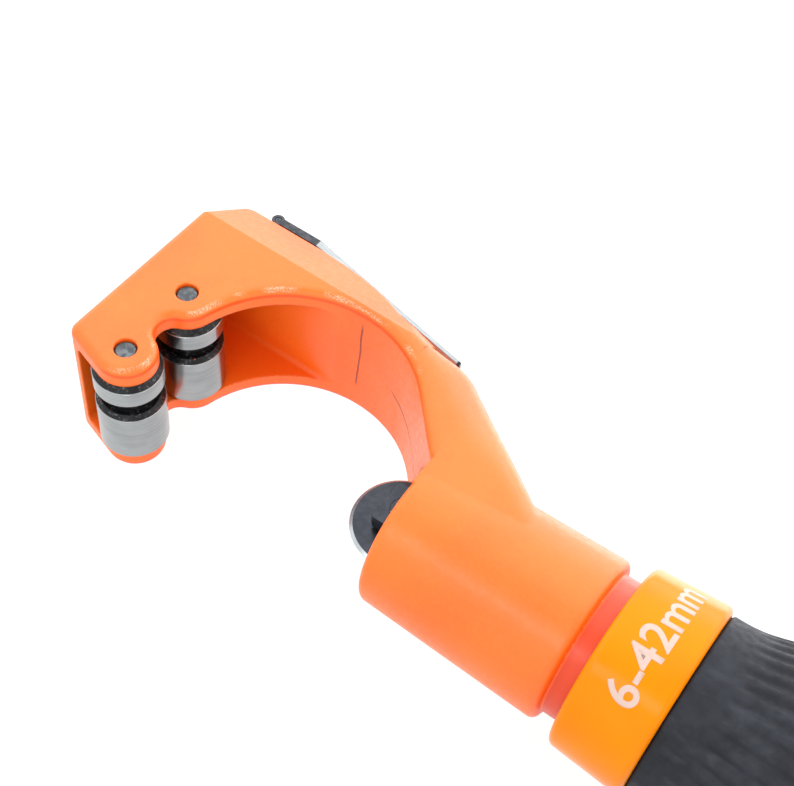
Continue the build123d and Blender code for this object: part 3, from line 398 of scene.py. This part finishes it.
def core_plastic():
    g = Graph("core_plastic")
    cloud = g.noise(0.15, 4)
    base = g.mix(g.ramp(cloud, 0.3, 0.7), rgb(26, 28, 32), rgb(38, 40, 45))
    g.set(Base_Color=base, Roughness=g.ramp(cloud, 0.3, 0.7, 0.42, 0.55))
    g.shader.inputs["Specular IOR Level"].default_value = 0.3
    g.set(Normal=g.bump(g.noise(2.2, 2), 0.03, 0.5, normal=g.rounded(0.3)))
    return g.material


BY_SLOT = {
    "orange_paint": orange_paint(),
    "ground_steel": ground_steel("ground_steel", (132, 134, 137), 0.24),
    "dark_steel": dark_steel("dark_steel", (52, 55, 59), 0.36),
    "wheel_steel": wheel_steel(),
    "blade_steel": blade_steel(),
    "amber_plastic": amber_plastic(),
    "core_plastic": core_plastic(),
    "grip_rubber": grip_rubber(),
    "brass": ground_steel("brass", (176, 138, 80), 0.3),
}
ROLLERS = roller_steel()
PINS = dark_steel("pin_steel", (66, 71, 75), 0.34, mottle=44)
BY_NODE = {
    "front_roller": ROLLERS,
    "rear_roller": ROLLERS,
    "front_roller_pin": PINS,
    "rear_roller_pin": PINS,
}
for part in frame["record"]["subparts"]:
    mesh = frame["nodes"][part["node"]].data
    mesh.materials.clear()
    mesh.materials.append(BY_NODE.get(part["node"], BY_SLOT[part["material_slot"]]))


# ---- new pieces -------------------------------------------------------------
CUT_SNAP = 1e-7                 # a point this near a cutting plane counts as on it


def cut_across(builder, place, across):
    """Divide all the faces that a plane passes through."""
    everything = builder.verts[:] + builder.edges[:] + builder.faces[:]
    bmesh.ops.bisect_plane(builder, geom=everything, dist=CUT_SNAP, plane_co=place, plane_no=across)


def new_piece(name, mesh, material, body):
    """Link a mesh as a smooth piece that rides on a body."""
    mesh.materials.append(material)
    for polygon in mesh.polygons:
        polygon.use_smooth = True
    piece = bpy.data.objects.new(name, mesh)
    scene.collection.objects.link(piece)
    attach(piece, body)
    return piece


def natural_spline(stations):
    """Smooth curve through (x, r) stations, as a function of x."""
    count = len(stations)
    xs = [station[0] for station in stations]
    rs = [station[1] for station in stations]
    gaps = [xs[i + 1] - xs[i] for i in range(count - 1)]
    slopes = [(rs[i + 1] - rs[i]) / gaps[i] for i in range(count - 1)]
    # curvatures by the tridiagonal sweep, zero at both ends
    curves = [0.0] * count
    factors = [0.0] * count
    for i in range(1, count - 1):
        pivot = 2 * (gaps[i - 1] + gaps[i]) - gaps[i - 1] * factors[i - 1]
        factors[i] = gaps[i] / pivot
        curves[i] = (6 * (slopes[i] - slopes[i - 1]) - gaps[i - 1] * curves[i - 1]) / pivot
    for i in range(count - 2, 0, -1):
        curves[i] -= factors[i] * curves[i + 1]

    def radius(x):
        i = max(k for k in range(count - 1) if k == 0 or xs[k] <= x)
        gap, left, right = gaps[i], x - xs[i], xs[i + 1] - x
        bend = (curves[i] * right ** 3 + curves[i + 1] * left ** 3) / (6 * gap)
        line = (rs[i] / gap - curves[i] * gap / 6) * right
        line += (rs[i + 1] / gap - curves[i + 1] * gap / 6) * left
        return bend + line

    return radius


# frame casting: the CAD shape, with the leg's cheeks curving away behind into a broad rounding
LEG_OUTWARD = (0.568, 0.823)    # across the leg, away from the arch
LEG_TURN = 45.0                 # how far out the cheeks start to curve
LEG_ROUND = 48.4                # how far out the CAD's own rounding starts
LEG_BACK = 54.4                 # how far out the back lies
LEG_FALL = 0.46                 # steepest added slope
LEG_SWELL = 0.3                 # the back moves out by this share of the fall
LEG_SPAN_X = (40.0, 74.0)
LEG_FADE_IN_X, LEG_FADE_OUT_X = 48.0, 58.0
LEG_LOW_Y = 8.0
BARREL_RADIUS = 16.5
CUT_STEP_OUT, CUT_STEP_X = 0.7, 2
CASTING_CREASE = math.radians(24)


def smooth_step(value, low, high):
    share = min(1.0, max(0.0, (value - low) / (high - low)))
    return share * share * (3 - 2 * share)


def leg_fall(x, y, z):
    """How far a point of the leg's cheeks sinks towards the middle plane."""
    outward = x * LEG_OUTWARD[0] + y * LEG_OUTWARD[1]
    run, width = LEG_ROUND - LEG_TURN, LEG_BACK - LEG_ROUND
    turning = min(max(outward - LEG_TURN, 0.0), run)
    rounding = min(max(outward - LEG_ROUND, 0.0), width)
    fall = LEG_FALL * (turning ** 2 / (2 * run) + rounding - rounding ** 2 / (2 * width))
    fall *= smooth_step(x, LEG_SPAN_X[0], LEG_FADE_IN_X)
    fall *= 1 - smooth_step(x, LEG_FADE_OUT_X, LEG_SPAN_X[1])
    fall *= smooth_step(math.hypot(y, z), BARREL_RADIUS, BARREL_RADIUS + 5.0)
    return fall * smooth_step(abs(z), 1.0, 13.0)


def make_casting():
    builder = bmesh.new()
    builder.from_mesh(frame["nodes"]["frame"].data)
    outward = Vector((*LEG_OUTWARD, 0.0)).normalized()
    for step in range(int((LEG_BACK - LEG_TURN) / CUT_STEP_OUT)):
        cut_across(builder, outward * (LEG_TURN + CUT_STEP_OUT * step) * MM, outward)
    for x in range(int(LEG_SPAN_X[0]), int(LEG_SPAN_X[1]), CUT_STEP_X):
        cut_across(builder, (x * MM, 0, 0), (1, 0, 0))
    for vert in builder.verts:
        x, y, z = vert.co / MM
        if LEG_SPAN_X[0] < x < LEG_SPAN_X[1] and y > LEG_LOW_Y:
            fall = leg_fall(x, y, z) * MM
            vert.co.z -= math.copysign(fall, z)
            vert.co += outward * fall * LEG_SWELL
    mesh = bpy.data.meshes.new("frame_casting")
    builder.to_mesh(mesh)
    builder.free()
    piece = new_piece("frame_casting", mesh, BY_SLOT["orange_paint"], "frame")
    mesh.set_sharp_from_angle(angle=CASTING_CREASE)
    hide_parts("frame")


make_casting()

# rubber grip: a waisted sleeve whose shallow ribs swell out of a smooth front band
GRIP_FRONT_X, GRIP_REAR_X = 117.35, 187.0
GRIP_STATIONS = (
    (117.35, 18.0),
    (123.3, 18.4),
    (130.3, 20.3),
    (147.3, 21.4),
    (169.0, 21.0),
    (185.5, 18.2),
)
GRIP_END_RADIUS = 17.0
GRIP_BORE_RADIUS = 15.82
GRIP_LIP = 0.5                  # rounding of the front edge
RIB_COUNT = 40
RIB_DEPTH = 0.5
RIB_START_X, RIB_FULL_X = 122.0, 128.0
RIB_FADE_X, RIB_END_X = 178.0, 183.0
AROUND = RIB_COUNT * 12
ALONG = 110


def rib_profile(turn):
    """Depth below the rib tops, 0 to 1, across one rib: broad round tops, narrow valleys."""
    wave = 0.5 + 0.5 * math.cos(turn * RIB_COUNT)
    return (1 - wave) ** 1.6


def make_grip():
    outline = natural_spline(GRIP_STATIONS)
    heel_x = GRIP_STATIONS[-1][0]
    rows = [(GRIP_FRONT_X, GRIP_BORE_RADIUS), (GRIP_FRONT_X, GRIP_STATIONS[0][1] - GRIP_LIP)]
    for step in range(ALONG + 1):
        x = GRIP_FRONT_X + GRIP_LIP + (heel_x - GRIP_FRONT_X - GRIP_LIP) * step / ALONG
        rows.append((x, outline(x)))
    rows.append((GRIP_REAR_X - 0.3, GRIP_END_RADIUS + 0.35))
    rows += [(GRIP_REAR_X, GRIP_END_RADIUS), (GRIP_REAR_X, GRIP_BORE_RADIUS)]
    builder = bmesh.new()
    loops = []
    for x, radius in rows:
        ribbed = smooth_step(x, RIB_START_X, RIB_FULL_X) * (1 - smooth_step(x, RIB_FADE_X, RIB_END_X))
        loop = []
        for step in range(AROUND):
            turn = 2 * math.pi * step / AROUND
            r = radius - RIB_DEPTH * ribbed * rib_profile(turn)
            loop.append(builder.verts.new((x * MM, r * math.cos(turn) * MM, r * math.sin(turn) * MM)))
        loops.append(loop)
    for k, loop in enumerate(loops):
        after = loops[(k + 1) % len(loops)]
        for i in range(AROUND):
            j = (i + 1) % AROUND
            builder.faces.new((loop[i], loop[j], after[j], after[i]))
    bmesh.ops.recalc_face_normals(builder, faces=builder.faces)
    mesh = bpy.data.meshes.new("grip_sleeve")
    builder.to_mesh(mesh)
    builder.free()
    piece = new_piece("grip_sleeve", mesh, BY_SLOT["grip_rubber"], "handle")
    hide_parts("rubber_grip")


make_grip()

# capacity print on the ring: plain numerals wrapped round its cone
RING_FRONT = (102.0, 18.2)
RING_REAR = (117.3, 19.2)
PRINT_TEXT = "6-42mm"
PRINT_WEIGHT = 0.016
PRINT_TOP_X, PRINT_FOOT_X = 106.4, 112.5
PRINT_START_TURN, PRINT_END_TURN = math.radians(-46.0), math.radians(40.0)
PRINT_PROUD = 0.03
PRINT_SUNK = 0.02
PRINT_SLICES = 90


def make_print():
    words = bpy.data.curves.new("ring_print", "FONT")
    words.body = PRINT_TEXT
    words.offset = PRINT_WEIGHT
    holder = bpy.data.objects.new("ring_print_flat", words)
    scene.collection.objects.link(holder)
    bpy.context.view_layer.update()
    flat = bpy.data.meshes.new_from_object(holder)
    bpy.data.objects.remove(holder)
    builder = bmesh.new()
    builder.from_mesh(flat)
    bmesh.ops.remove_doubles(builder, verts=builder.verts, dist=1e-5)
    left = min(vert.co.x for vert in builder.verts)
    right = max(vert.co.x for vert in builder.verts)
    foot = min(vert.co.y for vert in builder.verts)
    top = max(vert.co.y for vert in builder.verts)
    for step in range(1, PRINT_SLICES):
        cut_across(builder, (left + (right - left) * step / PRINT_SLICES, 0, 0), (1, 0, 0))
    solid = bmesh.ops.extrude_face_region(builder, geom=builder.faces[:])
    lifted = {item for item in solid["geom"] if isinstance(item, bmesh.types.BMVert)}
    slope = (RING_REAR[1] - RING_FRONT[1]) / (RING_REAR[0] - RING_FRONT[0])
    for vert in builder.verts:
        share = (vert.co.x - left) / (right - left)
        turn = PRINT_START_TURN + (PRINT_END_TURN - PRINT_START_TURN) * share
        x = PRINT_FOOT_X + (PRINT_TOP_X - PRINT_FOOT_X) * (vert.co.y - foot) / (top - foot)
        radius = RING_FRONT[1] + slope * (x - RING_FRONT[0])
        radius += PRINT_PROUD if vert in lifted else -PRINT_SUNK
        vert.co = Vector((x, radius * math.sin(turn), radius * math.cos(turn))) * MM
    bmesh.ops.recalc_face_normals(builder, faces=builder.faces)
    mesh = bpy.data.meshes.new("ring_print")
    builder.to_mesh(mesh)
    builder.free()
    new_piece("ring_print", mesh, print_ink(), "handle")


make_print()

# ---- floor, light and camera ------------------------------------------------
FLOOR_GAP = 0.2 * MM
FLOOR_REACH = 3.0
FLOOR_TONE = (0.15, 0.15, 0.15, 1)
GLOW_SPAN_Y = (-150.0, 250.0)   # the floor glows more towards the back, in millimetres
GLOW_FRONT, GLOW_BACK = 0.76, 1.2
GLOW_SPOT = (90.0, 130.0)       # brightest patch, behind the tool
GLOW_SPOT_REACH, GLOW_SPOT_CORE = 100.0, 30.0
GLOW_SPOT_GAIN = 2.2
WHITE = (1, 1, 1, 1)


def make_floor():
    mesh = bpy.data.meshes.new("floor")
    builder = bmesh.new()
    bmesh.ops.create_grid(builder, x_segments=1, y_segments=1, size=FLOOR_REACH)
    builder.to_mesh(mesh)
    builder.free()
    floor = bpy.data.objects.new("floor", mesh)
    scene.collection.objects.link(floor)
    floor.location.z = cad_low.z - FLOOR_GAP
    # the floor glows as a light source: brighter towards the back and in a patch behind the tool
    g = Graph("floor_glow")
    glow = g.ramp(g.axes()[1], *GLOW_SPAN_Y, GLOW_FRONT, GLOW_BACK)
    spot = g.ramp(g.reach(GLOW_SPOT), GLOW_SPOT_REACH, GLOW_SPOT_CORE, 0.0, GLOW_SPOT_GAIN)
    g.set(Base_Color=FLOOR_TONE, Roughness=0.9, Emission_Strength=g.math("ADD", glow, spot))
    g.shader.inputs["Emission Color"].default_value = WHITE
    mesh.materials.append(g.material)


make_floor()

CAMERA_PLACE = (0.12373, -0.12479, 0.22315)
CAMERA_RIGHT = (0.80800, 0.58579, 0.06310)
CAMERA_AHEAD = (-0.29707, 0.49755, -0.81498)
LENS = 64.21
SHIFT = (0.0367, 0.0608)

# a white dome, brighter behind the tool and dim in the direction of the studio's open side
DOME_FRONT, DOME_BACK = 1.46, 2.68
DIM_SHARE = 0.4
DIM_TOWARDS = (0.297, -0.498, 0.815)


def make_dome():
    world = bpy.data.worlds.new("studio")
    scene.world = world
    world.use_nodes = True
    tree = world.node_tree
    direction = tree.nodes.new("ShaderNodeTexCoord").outputs["Generated"]

    def along(axis, low, high, out_low, out_high):
        """How far the direction lies along an axis, from -1 to 1, made into a share of light."""
        dot = tree.nodes.new("ShaderNodeVectorMath")
        dot.operation = "DOT_PRODUCT"
        dot.inputs[1].default_value = axis
        tree.links.new(direction, dot.inputs[0])
        share = tree.nodes.new("ShaderNodeMapRange")
        set_range(share, low, high, out_low, out_high)
        tree.links.new(dot.outputs["Value"], share.inputs["Value"])
        return share.outputs["Result"]

    strength = tree.nodes.new("ShaderNodeMath")
    strength.operation = "MULTIPLY"
    tree.links.new(along((0, 1, 0), -1.0, 1.0, DOME_FRONT, DOME_BACK), strength.inputs[0])
    tree.links.new(along(DIM_TOWARDS, 0.70, 0.95, 1.0, DIM_SHARE), strength.inputs[1])
    tree.links.new(strength.outputs[0], tree.nodes["Background"].inputs["Strength"])
    tree.nodes["Background"].inputs["Color"].default_value = WHITE


make_dome()


def softbox(name, place, aim, size, power):
    data = bpy.data.lights.new(name, "AREA")
    data.shape = "RECTANGLE"
    data.size, data.size_y = size
    data.energy = power
    lamp = bpy.data.objects.new(name, data)
    scene.collection.objects.link(lamp)
    lamp.location = place
    lamp.rotation_euler = (Vector(aim) - Vector(place)).to_track_quat("-Z", "Y").to_euler()


softbox("key", (0.17, 0.82, 0.24), (0.05, 0.0, 0.0), (0.6, 0.36), 0.6)
softbox("strip", (0.08, -0.57, 0.56), (0.11, 0.0, 0.0), (0.9, 0.16), 2.0)

camera_data = bpy.data.cameras.new("camera")
camera = bpy.data.objects.new("camera", camera_data)
scene.collection.objects.link(camera)
back = -Vector(CAMERA_AHEAD).normalized()
right = (Vector(CAMERA_RIGHT) - back * back.dot(Vector(CAMERA_RIGHT))).normalized()
turn = Matrix((right, back.cross(right), back)).transposed()
camera.matrix_world = Matrix.Translation(CAMERA_PLACE) @ turn.to_4x4()
camera_data.sensor_width = 36
camera_data.lens = LENS
camera_data.shift_x, camera_data.shift_y = SHIFT
camera_data.clip_start, camera_data.clip_end = 0.01, 20
scene.camera = camera
scene.view_settings.view_transform = "Standard"
